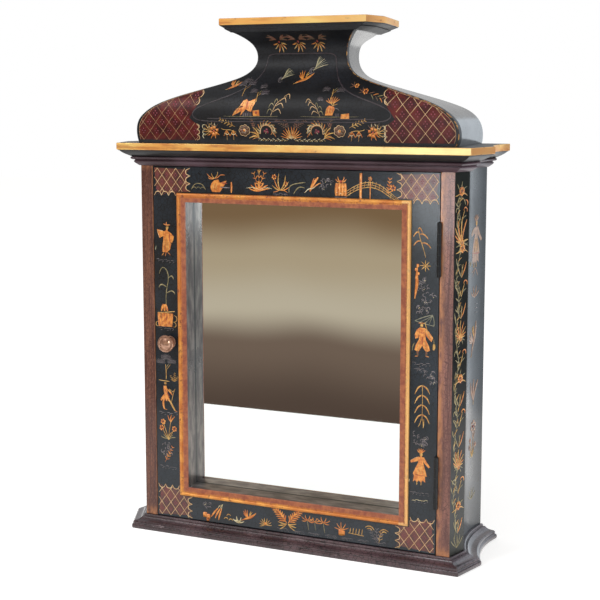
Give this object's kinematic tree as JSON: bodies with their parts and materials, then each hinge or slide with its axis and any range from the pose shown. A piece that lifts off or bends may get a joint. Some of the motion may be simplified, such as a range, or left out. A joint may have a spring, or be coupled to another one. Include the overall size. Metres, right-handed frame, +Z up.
{
  "type": "mirrored cabinet",
  "caption": "Shallow wall cabinet with a recessed mirror in a hinged front door, scooped sides, moulded plinth and cornice, and a bell-shaped pediment under a cap.",
  "frame": {"origin": "centre of the underside of the plinth, the face it stands on, midway between the front of the cornice and the back", "axes": "+X to the viewer's right, +Y from the front towards the wall, +Z up"},
  "size_m": [0.504, 0.152, 0.682],
  "materials": {
    "black_lacquer": "satin gloss blue-black lacquer over wood",
    "aubergine_lacquer": "satin aubergine lacquer, worn at the edges",
    "gilt_edge": "worn water gilding over wood",
    "case_interior": "matt dark red paint over wood",
    "back_board": "matt black-brown stain",
    "mirror": "silvered glass",
    "mirror_back": "plain backing board",
    "knob_bronze": "aged bronze",
    "black_iron": "black painted steel",
    "brass": "dull brass",
    "magnet_steel": "plain steel",
    "catch_brown": "brown plastic"
  },
  "bodies": {
    "case": {"plinth_board": "black_lacquer", "plinth_moulding_front": "aubergine_lacquer", "plinth_moulding_left": "aubergine_lacquer", "plinth_moulding_right": "aubergine_lacquer", "corner_post_left": "aubergine_lacquer", "corner_post_right": "aubergine_lacquer", "side_board_left": "black_lacquer", "side_board_right": "black_lacquer", "back_panel": "back_board", "top_rail": "aubergine_lacquer", "top_board": "case_interior", "shelf_lower": "case_interior", "shelf_upper": "case_interior", "shelf_pins": "brass", "door_stop_left": "case_interior", "door_stop_right": "case_interior", "catch_housing": "catch_brown", "catch_magnet": "magnet_steel", "keyhole_plate_left": "brass", "keyhole_plate_right": "brass", "keyhole_screws": "brass", "cornice_board": "gilt_edge", "cornice_moulding_front": "aubergine_lacquer", "cornice_moulding_left": "aubergine_lacquer", "cornice_moulding_right": "aubergine_lacquer", "pediment_front": "black_lacquer", "pediment_side_left": "black_lacquer", "pediment_side_right": "black_lacquer", "pediment_back": "back_board", "cap_core": "black_lacquer", "cap_moulding_front": "black_lacquer", "cap_moulding_left": "black_lacquer", "cap_moulding_right": "black_lacquer", "cap_board": "gilt_edge", "hinge_case_leaf_lower": "black_iron", "hinge_case_leaf_upper": "black_iron", "hinge_pin_lower": "black_iron", "hinge_pin_upper": "black_iron", "hinge_case_screws": "black_iron"},
    "door": {"door_stile_left": "black_lacquer", "door_stile_right": "black_lacquer", "door_rail_top": "black_lacquer", "door_rail_bottom": "black_lacquer", "sight_moulding_top": "gilt_edge", "sight_moulding_bottom": "gilt_edge", "sight_moulding_left": "gilt_edge", "sight_moulding_right": "gilt_edge", "mirror_glass": "mirror", "mirror_backing": "mirror_back", "glass_beads": "black_lacquer", "knob": "knob_bronze", "knob_plate": "knob_bronze", "knob_screw": "brass", "strike_plate": "magnet_steel", "strike_screws": "magnet_steel", "hinge_door_leaf_lower": "black_iron", "hinge_door_leaf_upper": "black_iron", "hinge_door_screws": "black_iron"}
  },
  "joints": [
    {"name": "door_hinge", "type": "hinge", "parent": "case", "child": "door", "pos_m": [0.1946, -0.057, 0.256], "axis": [0, 0, 1], "range_deg": [0, 180]}
  ]
}
